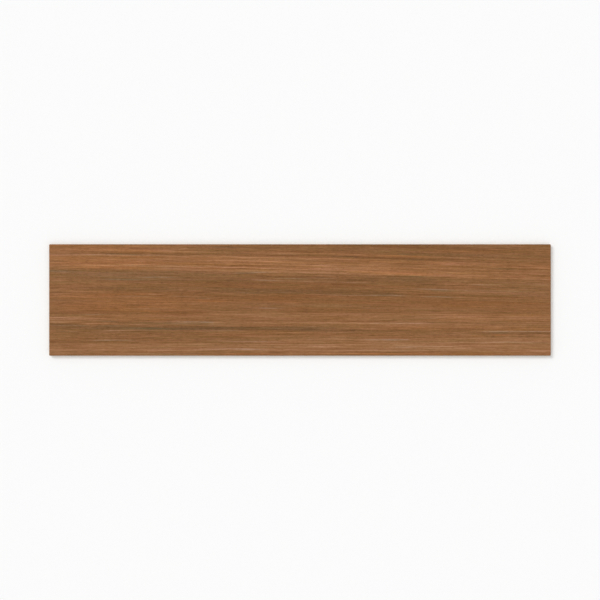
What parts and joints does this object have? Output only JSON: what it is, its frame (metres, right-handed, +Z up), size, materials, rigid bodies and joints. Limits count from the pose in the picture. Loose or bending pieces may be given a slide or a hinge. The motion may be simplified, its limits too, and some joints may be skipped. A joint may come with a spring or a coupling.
{
  "type": "wood look porcelain plank tile",
  "caption": "Long thin rectangular floor tile with a wood-grain face, eased edges and a ribbed, keyed back for bedding in adhesive.",
  "frame": {"origin": "middle of the back, on the plane of the rib undersides that the tile rests on", "axes": "+X along the plank and its grain, +Y across the plank, +Z up through the printed face"},
  "size_m": [0.9, 0.2, 0.0095],
  "materials": {
    "porcelain": "matte wood-grain print in warm brown on a tan fired body"
  },
  "bodies": {
    "root": {"plank_tile": "porcelain"}
  },
  "joints": []
}
